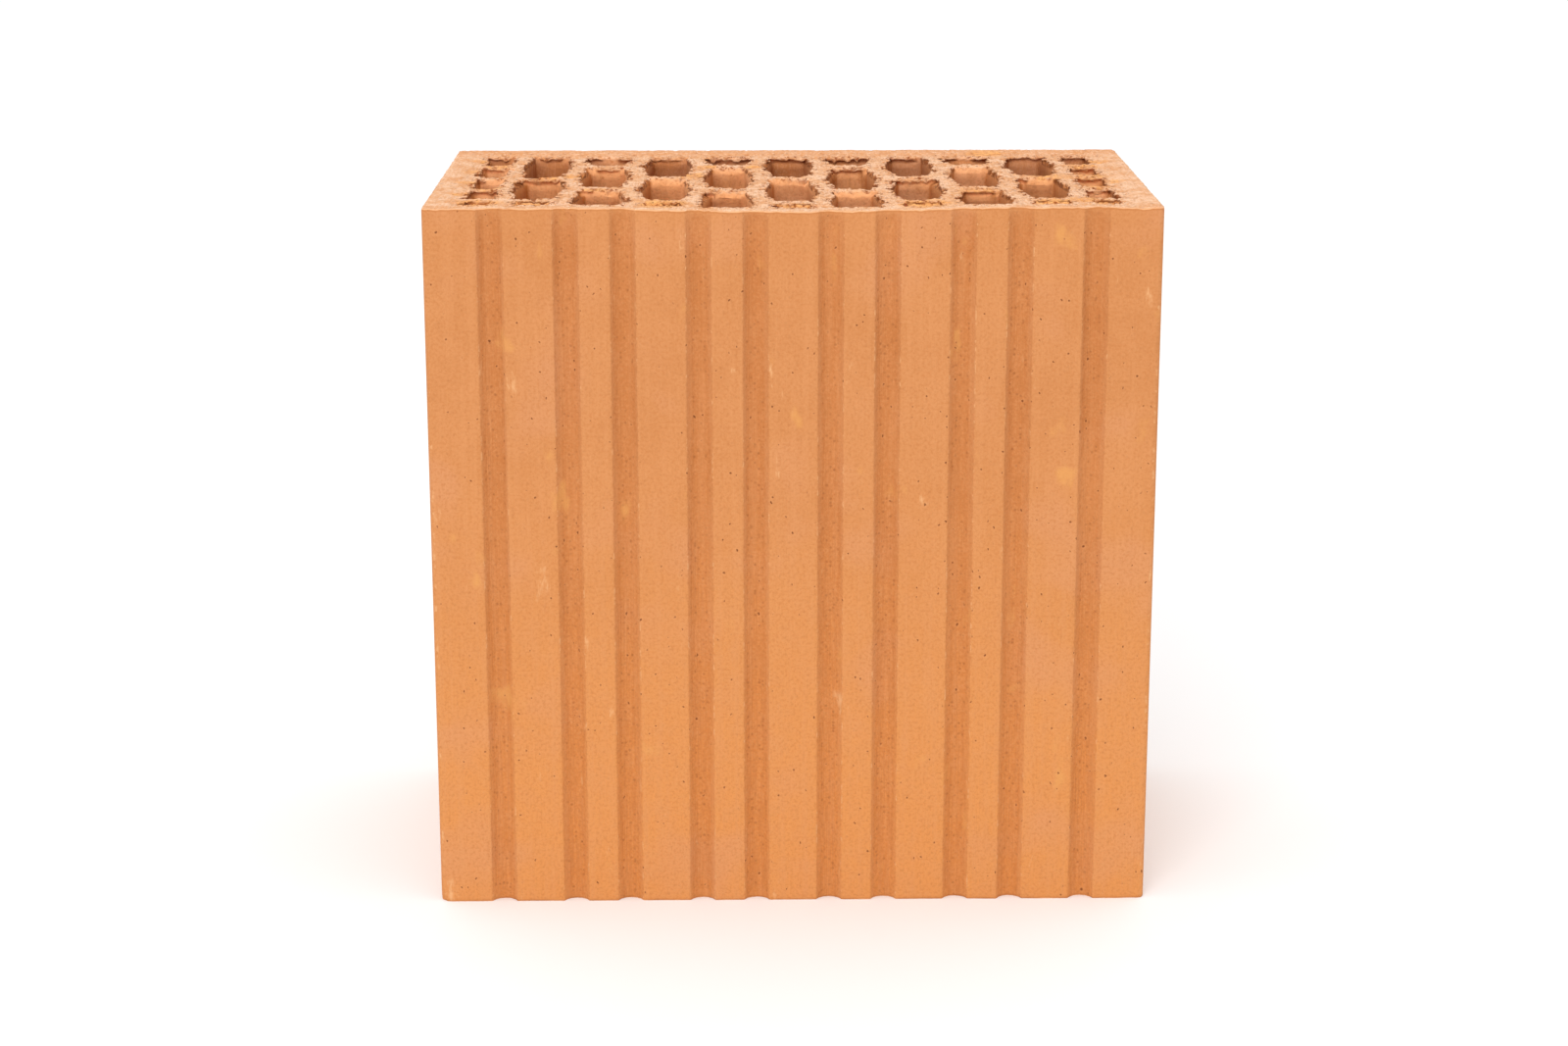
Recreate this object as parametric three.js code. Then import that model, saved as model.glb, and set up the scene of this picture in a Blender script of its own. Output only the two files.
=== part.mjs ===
// Perforated clay wall block with honeycomb cells.
//
// The block is one extruded and fired piece. The die gives it the same section all the way up: a
// shell round a field of long hexagonal cells, a file of small square cells at each end, and a row
// of shallow round keys for the plaster on both wall faces. Two wire cuts make the flat beds.
//
// Millimetres, +Z up. The block stands on its lower bed with its origin under its middle. X runs
// along the wall, and -Y is the front wall face.

import * as THREE from 'three';

// Overall size.
const LENGTH = 240;            // along the wall, X
const THICKNESS = 140;         // through the wall, Y
const HEIGHT = 238;            // between the two cut beds, Z
const CORNER_RADIUS = 2;       // the four upright outer edges

// Solid shell round the cells.
const FRONT_SHELL = 10;
const REAR_SHELL = 15;
const END_SHELL = 12.5;

// Honeycomb cells: long hexagons, with the long way through the wall.
const CELL_LENGTH = 49;        // a whole cell, along Y
const CELL_WAIST = 17.6;       // its widest place, half way along
const CELL_END_WIDTH = 11.6;   // its flat front and rear ends
const CELL_FILLET = 2;         // inner corners
const MIN_CELL = 5;            // anything narrower or shorter stays solid

// Webs between the cells.
const CROSS_WEB = 4;           // between the cells of one column, and of one end file
const LONG_WEB = 6.7;          // zigzag web between two columns
const END_WEB = 4.5;           // between the outermost waist and the end file

// Plaster keys: upright round grooves in pairs, the same on both sides of the middle of the face.
const KEY_WIDTH = 8.5;
const KEY_DEPTH = 3;
const KEY_SPACING = 18.5;      // between the two keys of a pair
const KEY_PAIR_PITCH = 43;     // from one pair to the next
const KEY_MARGIN = 8;          // least plain face between a key and the end of the block

const ARC_SEGMENTS = 3;        // each round stretch gets twice this many straight facets
const FIRED_CLAY = { color: 0xdb9a66, roughness: 0.93, metalness: 0 };

const columnPitch = (CELL_WAIST + CELL_END_WIDTH) / 2 + LONG_WEB;
const rowPitch = CELL_LENGTH + CROSS_WEB;
const cellsFront = -THICKNESS / 2 + FRONT_SHELL;
const cellsRear = THICKNESS / 2 - REAR_SHELL;
const endFileOuter = LENGTH / 2 - END_SHELL;

// The columns stand in pairs about the middle one. As many fit as leave the end files wide enough.
const columnReach = endFileOuter - MIN_CELL - END_WEB - CELL_WAIST / 2;
const pairsOfColumns = Math.max(0, Math.floor(columnReach / columnPitch));
const endFileInner = pairsOfColumns * columnPitch + CELL_WAIST / 2 + END_WEB;

// Adds a closed loop through the corners to a path. A corner with a fillet is rounded by an arc
// that is no larger than its two edges allow.
function addLoop(path, corners) {
  corners.forEach(({ at, fillet }, i) => {
    const before = corners.at(i - 1).at;
    const after = corners[(i + 1) % corners.length].at;
    const incoming = at.clone().sub(before);
    const outgoing = after.clone().sub(at);
    const turn = Math.atan2(incoming.cross(outgoing), incoming.dot(outgoing));
    const room = Math.min(incoming.length(), outgoing.length()) / 2;
    const halfTurn = Math.tan(Math.abs(turn) / 2);
    const radius = Math.min(fillet, room / halfTurn);
    if (radius > 0) {
      const side = Math.sign(turn);
      const start = at.clone().addScaledVector(incoming.normalize(), -radius * halfTurn);
      const toCentre = new THREE.Vector2(-incoming.y, incoming.x).multiplyScalar(side * radius);
      const centre = start.clone().add(toCentre);
      const startAngle = Math.atan2(start.y - centre.y, start.x - centre.x);
      path.absarc(centre.x, centre.y, radius, startAngle, startAngle + turn, side < 0);
    } else if (i === 0) {
      path.moveTo(at.x, at.y);
    } else {
      path.lineTo(at.x, at.y);
    }
  });
  path.closePath();
  return path;
}

// A cell with straight ends at yFront and yRear, whose half width follows halfWidthAt. A waist
// between the two ends makes it a hexagon, and otherwise it is a four-sided cell.
function cell(x, yFront, yRear, yWaist, halfWidthAt) {
  const corner = (side, y, fillet) => ({ at: new THREE.Vector2(x + side * halfWidthAt(y), y), fillet });
  const hasWaist = yFront < yWaist && yWaist < yRear;
  return addLoop(new THREE.Path(), [
    corner(-1, yFront, CELL_FILLET),
    corner(1, yFront, CELL_FILLET),
    ...(hasWaist ? [corner(1, yWaist, 0)] : []),
    corner(1, yRear, CELL_FILLET),
    corner(-1, yRear, CELL_FILLET),
    ...(hasWaist ? [corner(-1, yWaist, 0)] : []),
  ]);
}

// One column of the honeycomb. Its rows are set out from the rear shell, half a row further back
// in a staggered column, and the two shells cut off whatever passes them.
function honeycombColumn(column) {
  const x = column * columnPitch;
  const cells = [];
  const isStaggered = column % 2 !== 0;
  const firstRear = cellsRear + (isStaggered ? rowPitch / 2 : 0);
  for (let rear = firstRear; rear > cellsFront; rear -= rowPitch) {
    const yFront = Math.max(rear - CELL_LENGTH, cellsFront);
    const yRear = Math.min(rear, cellsRear);
    const yWaist = rear - CELL_LENGTH / 2;
    const taper = (CELL_WAIST - CELL_END_WIDTH) / CELL_LENGTH;
    const halfWidthAt = (y) => CELL_WAIST / 2 - taper * Math.abs(y - yWaist);
    if (yRear - yFront >= MIN_CELL) {
      cells.push(cell(x, yFront, yRear, yWaist, halfWidthAt));
    }
  }
  return cells;
}

// The file of four-sided cells beside one end: half the honeycomb's row each, so that their webs
// carry on both kinds of cross web.
function endFile(side) {
  const x = side * (endFileInner + endFileOuter) / 2;
  const halfWidthAt = () => (endFileOuter - endFileInner) / 2;
  const cells = [];
  for (let rear = cellsRear; rear > cellsFront; rear -= rowPitch / 2) {
    const yFront = Math.max(rear - rowPitch / 2 + CROSS_WEB, cellsFront);
    if (rear - yFront >= MIN_CELL) {
      cells.push(cell(x, yFront, rear, rear, halfWidthAt));
    }
  }
  return cells;
}

// X of every key, from one end to the other. The outermost pair keeps only what the face has room
// for.
function keyPlaces() {
  const limit = LENGTH / 2 - KEY_MARGIN - KEY_WIDTH / 2;
  const onRight = [];
  for (let middle = KEY_PAIR_PITCH / 2; middle < LENGTH / 2; middle += KEY_PAIR_PITCH) {
    onRight.push(middle - KEY_SPACING / 2, middle + KEY_SPACING / 2);
  }
  const kept = onRight.filter((x) => x <= limit);
  return [...kept.map((x) => -x).reverse(), ...kept];
}

// The outline, counter-clockwise from the front left corner, with the keys cut into both wall
// faces as circular arcs.
function outline() {
  const shape = new THREE.Shape();
  const right = LENGTH / 2 - CORNER_RADIUS;
  const rear = THICKNESS / 2 - CORNER_RADIUS;
  const quarter = Math.PI / 2;
  const keyRadius = (KEY_WIDTH ** 2 / 4 + KEY_DEPTH ** 2) / (2 * KEY_DEPTH);
  const keyAngle = Math.atan2(keyRadius - KEY_DEPTH, KEY_WIDTH / 2);
  const keyCentre = THICKNESS / 2 + keyRadius - KEY_DEPTH;
  const addKey = (x, y, facing) => {
    shape.absarc(x, y, keyRadius, facing + Math.PI - keyAngle, facing + keyAngle, true);
  };
  shape.absarc(-right, -rear, CORNER_RADIUS, 2 * quarter, 3 * quarter, false);
  keyPlaces().forEach((x) => addKey(x, -keyCentre, 0));
  shape.absarc(right, -rear, CORNER_RADIUS, 3 * quarter, 4 * quarter, false);
  shape.absarc(right, rear, CORNER_RADIUS, 0, quarter, false);
  keyPlaces().reverse().forEach((x) => addKey(x, keyCentre, Math.PI));
  shape.absarc(-right, rear, CORNER_RADIUS, quarter, 2 * quarter, false);
  shape.closePath();
  return shape;
}

function clayBlock() {
  const section = outline();
  section.holes.push(...endFile(-1), ...endFile(1));
  for (let column = -pairsOfColumns; column <= pairsOfColumns; column += 1) {
    section.holes.push(...honeycombColumn(column));
  }
  const geometry = new THREE.ExtrudeGeometry(section, {
    depth: HEIGHT,
    bevelEnabled: false,
    curveSegments: ARC_SEGMENTS,
  });
  const block = new THREE.Mesh(geometry, new THREE.MeshStandardMaterial(FIRED_CLAY));
  block.name = 'clay_block';
  return block;
}

const part = new THREE.Group();
part.add(clayBlock());

export default part;
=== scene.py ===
"""Looks of a perforated clay wall block: one extruded, wire-cut and fired piece.

The die leaves the outer faces smooth and streaked upright. The cutting wire sags between its guides,
tears the upper bed open and drags ragged lips of clay over the mouths of the cells.

The block is made as a slab with two finely netted beds, cut to the outer skin, cut by one core for each
cell, and joined with the crumbs that stick to it. Metres, in the frame of the CAD part: X runs along
the wall, -Y is the front, and the upper bed is the torn one.
"""

import math
import random
from collections import namedtuple

import bmesh
import bpy
from mathutils import Matrix, Vector, noise
from mathutils.bvhtree import BVHTree


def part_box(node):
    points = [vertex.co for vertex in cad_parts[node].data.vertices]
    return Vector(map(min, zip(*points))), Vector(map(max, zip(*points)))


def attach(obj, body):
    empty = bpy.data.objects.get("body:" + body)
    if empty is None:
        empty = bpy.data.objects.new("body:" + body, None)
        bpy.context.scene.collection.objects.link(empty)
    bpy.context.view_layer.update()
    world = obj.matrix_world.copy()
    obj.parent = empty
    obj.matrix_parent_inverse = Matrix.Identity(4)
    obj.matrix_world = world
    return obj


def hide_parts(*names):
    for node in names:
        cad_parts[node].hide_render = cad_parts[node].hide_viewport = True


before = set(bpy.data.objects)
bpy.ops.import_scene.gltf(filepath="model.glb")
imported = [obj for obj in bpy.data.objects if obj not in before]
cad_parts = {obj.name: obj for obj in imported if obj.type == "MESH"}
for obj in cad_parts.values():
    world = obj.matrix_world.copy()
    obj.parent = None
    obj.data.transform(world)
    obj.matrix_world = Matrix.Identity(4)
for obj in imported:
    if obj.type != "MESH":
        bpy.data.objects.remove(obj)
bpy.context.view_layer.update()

MM = 0.001
NODE = "clay_block"
LOW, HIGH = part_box(NODE)
LENGTH, THICKNESS, HEIGHT = HIGH - LOW
WELD = 0.001 * MM

# -------- sizes of the surface work

KEY_LIP = 0.4 * MM               # rounded edges of the plaster keys
SKIN_STEP = 1.0 * MM             # spacing of the points along the outer skin
OVERLAP = 5 * MM                 # how far a cutter passes the bed that it cuts
SHARP_EDGE = math.radians(50)    # edges that turn further are shaded sharp

# Net of points on each bed, along X and along Y.
UPPER_NET = (0.64 * MM, 0.82 * MM)
LOWER_NET = (2.1 * MM, 2.1 * MM)

# Rings of points along the walls, by their distance from the nearer bed, and the spacing of the
# points along a cell's wall down to each depth.
UPPER_RINGS = [depth * MM for depth in (0.2, 0.5, 1.0, 1.7, 2.6, 5, 9, 14)]
LOWER_RINGS = [0.5 * MM, 1.6 * MM, 6 * MM]
CELL_STEPS = [(2.0 * MM, 0.9 * MM), (9.5 * MM, 1.8 * MM), (HEIGHT, 3.6 * MM)]

LOOSE_DEPTH = 4.5 * MM           # the upper bed's relief fades out at this depth
FUNNEL_DEPTH = 11 * MM           # and the clay smeared down the cells ends here

# The wire's path: how far the front of the upper bed lies under the guides.
WIRE_SAG = 1.15 * MM             # in the middle
WIRE_SAG_HALF_SPAN = 60 * MM     # and how far that sag reaches to either side
END_SAG = 0.1 * MM               # at both ends
RIGHT_END_SAG = 0.3 * MM         # and in one shallow dip near the right end
RIGHT_END_DIP = (112 * MM, 4 * MM)     # its place and width
SHELL_SETTLE = 0.05 * MM         # level of the solid shell's bed
WEB_SETTLE = 0.4 * MM            # and how much lower the webs lie, under their highest crumbs

# -------- mouths of the cells

# Clay dragged over each mouth, in mm: its reach from the rear rim and from the front rim, and the
# depth of the pocket torn open under the rear lip, each at the left, in the middle and at the right.
# The files of cells go from left to right, and the mouths in each from rear to front.
Mouth = namedtuple("Mouth", "rear front pocket")
MOUTHS = [
    [((0.5, 0.5, 0.5), (0.0, 0.0, 0.5), (1.2, 0.9, 0.3)),
     ((2.0, 2.0, 2.5), (-0.5, -0.5, 0.5), (1.4, 1.2, 0.6)),
     ((1.0, 0.5, 0.5), (-0.5, -0.5, 1.0), (1.0, 0.4, 0.0)),
     ((1.5, 1.0, 1.5), (0.0, 0.0, 1.0), (1.5, 1.1, 1.0)),
     ((0.2, 3.2, 4.4), (0.4, 3.6, 4.4), (2.0, 0.0, 0.0))],
    [((0.5, 0.8, 0.5), (-1.0, -1.5, -0.5), (0.0, 1.4, 0.0)),
     ((2.0, 2.0, 1.5), (0.5, 0.0, 1.0), (0.9, 1.3, 1.0)),
     ((2.0, 4.6, 3.0), (4.0, 4.2, 4.0), (1.4, 0.0, 1.1))],
    [((1.0, 1.5, 3.5), (0.5, 0.5, 2.0), (1.4, 0.3, 2.4)),
     ((1.5, 2.5, 1.5), (-0.5, 1.0, 0.0), (0.0, 1.1, 0.0)),
     ((2.5, 2.5, 2.0), (1.5, 2.5, 3.0), (0.8, 0.0, 0.0))],
    [((2.0, 2.5, 2.0), (0.0, 0.0, 0.5), (0.9, 0.9, 0.3)),
     ((1.5, 0.5, 1.0), (1.0, 1.5, 0.5), (0.0, 0.0, 0.0)),
     ((2.8, 3.4, 4.4), (3.6, 4.6, 4.0), (1.2, 0.9, 0.6))],
    [((2.5, 2.5, 2.5), (2.0, 3.0, 2.0), (2.6, 1.6, 2.6)),
     ((1.5, 0.8, 1.0), (4.0, 0.5, 0.5), (0.0, 0.0, 0.0)),
     ((3.5, 2.0, 2.0), (0.0, 0.0, 0.5), (1.1, 0.0, 0.0))],
    [((2.0, 2.5, 2.5), (1.5, 1.0, 2.0), (2.0, 2.4, 2.0)),
     ((0.5, 0.5, 1.5), (0.5, 1.0, 0.5), (0.0, 0.0, 0.5)),
     ((0.6, 1.4, 4.4), (2.2, 2.8, 4.4), (1.8, 1.4, 0.0))],
    [((2.0, 2.5, 2.0), (1.5, 2.0, 1.5), (3.0, 2.2, 3.0)),
     ((3.5, 1.5, 1.5), (0.5, -1.5, 0.5), (1.8, 1.4, 0.3)),
     ((1.0, 1.0, 1.0), (0.0, 0.0, 0.0), (0.0, 0.0, 0.0))],
    [((2.0, 2.0, 0.5), (1.5, 0.5, 2.5), (2.0, 1.8, 0.0)),
     ((2.5, 3.0, 2.0), (0.5, 0.0, 0.5), (1.6, 1.0, 1.2)),
     ((0.8, 3.4, 1.6), (2.8, 4.4, 4.0), (2.0, 0.6, 1.5))],
    [((3.0, 2.0, 3.0), (1.5, 2.5, 2.0), (2.6, 0.6, 3.0)),
     ((1.0, 0.8, 1.0), (1.0, 0.5, 0.0), (0.0, 0.0, 0.0)),
     ((4.0, 3.5, 3.5), (0.5, 0.0, 0.5), (1.2, 1.3, 0.5))],
    [((1.5, 1.0, 1.5), (1.5, -0.5, 1.5), (1.4, 1.2, 1.4)),
     ((3.0, 1.5, 2.0), (2.0, 1.0, 2.5), (1.2, 0.0, 0.3)),
     ((4.0, 4.4, 2.6), (4.6, 3.9, 4.2), (0.0, 0.0, 1.4))],
    [((1.0, 1.0, 1.5), (0.5, 0.0, 1.5), (1.0, 1.4, 1.2)),
     ((3.5, 3.0, 3.5), (2.0, 1.5, 3.0), (1.2, 1.8, 2.2)),
     ((2.0, 2.0, 2.0), (0.5, 0.0, 0.5), (2.2, 2.0, 1.6)),
     ((1.5, 1.5, 2.0), (0.5, 0.5, 0.5), (1.2, 0.9, 1.2)),
     ((1.5, 2.2, 2.5), (4.0, 4.4, 4.0), (1.3, 1.0, 1.3))],
]

REAR_ROUND = 2.6 * MM            # radius of a rear rim that the wire has rolled over
RIM_ROUND = 0.5 * MM             # and of the other rims
SIDE_TEETH = 0.4 * MM            # ragged teeth along the sides of a mouth
SIDE_NOTCH = 1.9 * MM            # the deepest cracks torn between them
CRACK_ENDS = (1.0 * MM, 2.4 * MM)     # and the depths between which those end
LIP_REACH = 0.7 * MM             # how far the lip over a pocket sticks out
LIP_THICKNESS = 0.5 * MM
POCKET_GAP = (0.28, 0.6)         # where the middle pocket ends and a side one is at its full depth
NARROWEST = 0.45 * MM            # a mouth never closes further
CHIP_DEPTH = 0.35 * MM           # of the chips along a lower mouth
CHIP_REACH = 1.2 * MM            # and how far up the wall they go

# Added to a cell's number, so that every kind of raggedness has ripples of its own.
ROUNDING, FINE_FRAY, NIBBLES, TEETH, FINE_TEETH, LOWER_CHIPS, POCKETS, CRACKS = range(40, 321, 40)
LEFT_CRACKS = 7                  # and once more for the left side of each cell


def smooth(low, high, value):
    """0 below low, 1 above high, and an even S between them."""
    t = min(max((value - low) / (high - low), 0.0), 1.0)
    return t * t * (3 - 2 * t)


def fade(low, high, value):
    """1 below low, 0 above high, and an even S between them."""
    return 1 - smooth(low, high, value)


def across(values, u, start=0.0, end=0.9):
    """Smooth run through the values at the left (-1), in the middle (0) and at the right (1). It
    passes from the middle one to a side one between start and end."""
    left, middle, right = values
    side = left if u < 0 else right
    return middle + (side - middle) * smooth(start, end, abs(u))


def ripple(place, wave, seed):
    """Even noise of about -1 to 1 along a line, in waves of the given length."""
    return 2 * noise.noise(Vector((place / wave, seed * 7.31, 0.37)))


# -------- walls of the block


def rise(edge):
    return abs(edge.verts[0].co.z - edge.verts[1].co.z)


def run(edge):
    return (edge.verts[0].co - edge.verts[1].co).xy.length


def block_walls():
    """The upright walls of the CAD block as clean quads, without its beds."""
    bm = bmesh.new()
    bm.from_mesh(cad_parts[NODE].data)
    bmesh.ops.remove_doubles(bm, verts=bm.verts[:], dist=WELD)
    bm.normal_update()
    beds = [f for f in bm.faces if abs(f.normal.z) > 0.5]
    bmesh.ops.delete(bm, geom=beds, context="FACES")
    diagonals = [e for e in bm.edges if rise(e) > WELD and run(e) > WELD]
    bmesh.ops.dissolve_edges(bm, edges=diagonals, use_verts=False)
    return bm


def islands(bm):
    """The separate walls: lists of faces that hang together."""
    for face in bm.faces:
        face.tag = False
    found = []
    for seed in bm.faces:
        if seed.tag:
            continue
        seed.tag = True
        island = [seed]
        for face in island:
            for edge in face.edges:
                for other in edge.link_faces:
                    if not other.tag:
                        other.tag = True
                        island.append(other)
        found.append(island)
    return found


def span(island):
    """Middle and half size of an island in plan."""
    points = [v.co for f in island for v in f.verts]
    low = Vector((min(p.x for p in points), min(p.y for p in points)))
    high = Vector((max(p.x for p in points), max(p.y for p in points)))
    return (low + high) / 2, (high - low) / 2


def only(outer):
    """The outer wall alone, or all the cells' walls without it."""
    bm = block_walls()
    dropped = [f for island in islands(bm) if (span(island)[1].x > LENGTH / 4) != outer for f in island]
    bmesh.ops.delete(bm, geom=dropped, context="FACES")
    return bm


def add_rings(bm):
    """Cuts level rings of points round the walls, closer together next to the beds."""
    for height in [HEIGHT - depth for depth in UPPER_RINGS] + LOWER_RINGS:
        bmesh.ops.bisect_plane(bm, geom=bm.verts[:] + bm.edges[:] + bm.faces[:],
                               plane_co=(0, 0, height), plane_no=(0, 0, 1))


def add_columns(bm, steps):
    """Divides the level edges, by the first of the (depth, step) pairs that reaches down to them."""
    by_cuts = {}
    for edge in bm.edges:
        if rise(edge) > WELD:
            continue
        depth = HEIGHT - edge.verts[0].co.z
        step = next(step for reach, step in steps if depth <= reach + WELD)
        cuts = round(run(edge) / step) - 1
        if cuts > 0:
            by_cuts.setdefault(cuts, []).append(edge)
    for cuts, edges in sorted(by_cuts.items()):
        bmesh.ops.subdivide_edges(bm, edges=edges, cuts=cuts, use_grid_fill=True)


def close_ends(bm):
    """Carries both open ends of each wall past the beds and closes them, which makes solids."""
    for height, past in ((HEIGHT, OVERLAP), (0, -OVERLAP)):
        rim = [e for e in bm.edges if e.is_boundary and abs(e.verts[0].co.z - height) < WELD]
        extruded = bmesh.ops.extrude_edge_only(bm, edges=rim)["geom"]
        moved = [g for g in extruded if isinstance(g, bmesh.types.BMVert)]
        bmesh.ops.translate(bm, verts=moved, vec=(0, 0, past))
    bmesh.ops.holes_fill(bm, edges=[e for e in bm.edges if e.is_boundary], sides=0)
    bmesh.ops.recalc_face_normals(bm, faces=bm.faces[:])


# -------- outer skin

# Clay worn off the rims of the two beds, and how far along the skin the wear reaches.
UPPER_WEAR = (0.2 * MM, 0.8 * MM)
LOWER_WEAR = (0.16 * MM, 0.6 * MM)
CORNER_WEAR = 1.3 * MM           # size of the knock at the lower front left corner
SHARP_LIP = math.radians(35)     # the lips of the keys are the upright edges that turn further

# Clay dragged into the upper ends of the keys: share of their depth, and how far down it reaches.
FRONT_KEY_FILL = (0.4, 5 * MM)
REAR_KEY_FILL = (0.8, 4 * MM)
KEY_ROOM = 4 * MM                # no key is as deep as this,
KEY_MARGIN = 3 * MM              # or as near as this to an end


def outer_prism():
    """The outer skin as a solid that passes both beds."""
    bm = only(outer=True)
    lips = [e for e in bm.edges if rise(e) > WELD and e.calc_face_angle() > SHARP_LIP]
    bmesh.ops.bevel(bm, geom=lips, offset=KEY_LIP, offset_type="OFFSET", segments=3,
                    profile=0.5, affect="EDGES", material=-1)
    add_rings(bm)
    add_columns(bm, [(HEIGHT, SKIN_STEP)])
    fill_keys(bm)
    wear_rims(bm)
    close_ends(bm)
    return bm


def fill_keys(bm):
    """The wire drags clay into the upper ends of the keys: a little at the front, more at the rear."""
    for point in bm.verts:
        share, reach = REAR_KEY_FILL if point.co.y > 0 else FRONT_KEY_FILL
        share *= fade(0.5 * MM, reach, HEIGHT - point.co.z)
        behind_face = HIGH.y - abs(point.co.y)
        if behind_face < KEY_ROOM and abs(point.co.x) < HIGH.x - KEY_MARGIN:
            point.co.y += math.copysign(share * behind_face, point.co.y)


def wear_rims(bm):
    """Draws the skin in next to the beds: a small uneven round, and one knocked corner."""
    bm.normal_update()
    knocked = Vector((LOW.x, LOW.y, 0))
    upper, upper_reach = UPPER_WEAR
    lower, lower_reach = LOWER_WEAR
    moves = []
    for point in bm.verts:
        inward = Vector((point.normal.x, point.normal.y, 0)).normalized() * -1
        depth = HEIGHT - point.co.z
        along = point.co.x + 1.7 * point.co.y
        worn = upper * fade(0, upper_reach, depth) * (1 + 0.5 * ripple(along, 5 * MM, 3))
        worn += lower * fade(0, lower_reach, point.co.z) * (1 + ripple(along, 7 * MM, 5))
        reach = (point.co - knocked).length
        worn += CORNER_WEAR * 0.8 * fade(0.3 * CORNER_WEAR, 2.2 * CORNER_WEAR, reach)
        moves.append((point, inward * max(worn, 0.0)))
    for point, move in moves:
        point.co += move


# -------- cells


def cell_cores():
    """One solid core for every cell. Its top is pinched and torn where the wire dragged the clay."""
    bm = only(outer=False)
    add_rings(bm)
    add_columns(bm, CELL_STEPS)
    bm.normal_update()
    for seed, (island, mouth) in enumerate(cells_with_mouths(bm)):
        drag_upper_mouth(island, mouth, seed)
        chip_lower_mouth(island, seed)
    close_ends(bm)
    return bm


def cells_with_mouths(bm):
    """Pairs every cell's wall with its mouth: files from left to right, each from rear to front."""
    files = {}
    for island in islands(bm):
        files.setdefault(round(span(island)[0].x / MM), []).append(island)
    pairs = []
    for mouths, x in zip(MOUTHS, sorted(files)):
        cells = sorted(files[x], key=lambda island: -span(island)[0].y)
        pairs += zip(cells, [Mouth(*values) for values in mouths])
    return pairs


def quarter_round(radius, depth):
    """How far a rim rounded by the radius stands back at a depth."""
    if depth >= radius:
        return 0.0
    return radius - math.sqrt(radius ** 2 - (radius - depth) ** 2)


def clay_side(point, middle, to_rear):
    """Level direction from a point on a cell's wall into the clay, whichever way its normal faces."""
    along_x = Vector((point.co.x - middle.x, 0))
    along_y = Vector((0, to_rear - 0.5))
    outward = along_x if abs(to_rear - 0.5) < 0.45 else along_y
    level = point.normal.xy
    return (level * math.copysign(1, level.dot(outward))).normalized()


def dragged_clay(mouth, u, x, lip, seed):
    """How far clay reaches in from the rear rim and from the front rim."""
    frayed = 1 + 0.14 * ripple(x, 4.5 * MM, seed) + 0.1 * ripple(x, 1.7 * MM, seed + FINE_FRAY)
    nibbled = 0.25 * MM * ripple(x, 2.4 * MM, seed + NIBBLES) * lip
    return across(mouth.rear, u) * MM * frayed + nibbled, across(mouth.front, u) * MM * frayed - nibbled


def torn_pocket(pocket, depth):
    """How far a pocket is torn open under the rear lip. It is deeper down where it is deeper in."""
    floor = LIP_THICKNESS + (0.35 + 0.45 * pocket) * MM
    under_lip = smooth(LIP_THICKNESS, 1.7 * LIP_THICKNESS, depth)
    above_floor = fade(floor, floor + 0.7 * MM, depth)
    return under_lip * above_floor * pocket * MM


def torn_side(y, u, depth, lip, seed):
    """How far teeth and cracks reach into the clay at the left (u < 0) or right side of a mouth."""
    teeth = ripple(y, 3.1 * MM, seed + TEETH) + ripple(y, 1.3 * MM, seed + FINE_TEETH)
    crack = smooth(0.0, 0.5, ripple(y, 3.0 * MM, seed + CRACKS + (LEFT_CRACKS if u < 0 else 0)))
    crack *= fade(*CRACK_ENDS, depth)
    return SIDE_TEETH * teeth * lip + SIDE_NOTCH * crack


def drag_upper_mouth(island, mouth, seed):
    """Rolls the rear rim over, drags clay down the wall, and tears pockets, teeth and cracks."""
    middle, half = span(island)
    length = 2 * half.y
    # The higher this power, the closer to its own rim the dragged clay stays.
    hold = min(max(length / (15 * MM), 1.0), 3.0)
    opening = max(length - (mouth.rear[1] + mouth.front[1]) * MM, NARROWEST)
    moves = []
    for point in {v for f in island for v in f.verts}:
        x, y = point.co.x, point.co.y
        depth = HEIGHT - point.co.z
        if depth > FUNNEL_DEPTH:
            continue
        u = (x - middle.x) / half.x
        to_rear = min(max((y - middle.y + half.y) / length, 0.0), 1.0)
        into_clay = clay_side(point, middle, to_rear)
        lip = fade(LIP_THICKNESS, 2 * LIP_THICKNESS, depth)
        smear = fade(1.5 * MM, FUNNEL_DEPTH, depth)

        pocket = across(mouth.pocket, u, *POCKET_GAP) + 0.2 * ripple(x, 3 * MM, seed + POCKETS)
        pocket = max(pocket, 0.0)
        overhang = smooth(0.4, 1.1, pocket)
        at_rear = max(into_clay.y, 0.0) ** 2
        radius = RIM_ROUND + (REAR_ROUND * (1 - overhang) - RIM_ROUND) * at_rear
        radius = min(radius * (1 + 0.3 * ripple(x, 5 * MM, seed + ROUNDING)), 0.22 * opening)

        rear, front = dragged_clay(mouth, u, x, lip, seed)
        rear += 0.5 * radius
        excess = max((rear + front) / (length - NARROWEST), 1.0)
        rear = rear / excess + LIP_REACH * overhang * lip * min(1.0, opening / (6 * MM))
        front /= excess

        move = Vector((0, smear * (front * (1 - to_rear) ** hold - rear * to_rear ** hold)))
        move.y += torn_pocket(pocket, depth) * smooth(0.75, 1.0, to_rear)
        torn = torn_side(y, u, depth, lip, seed) * into_clay.x ** 2
        move += into_clay * (torn + quarter_round(radius, depth))
        moves.append((point, move))
    for point, move in moves:
        point.co.xy += move


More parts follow.
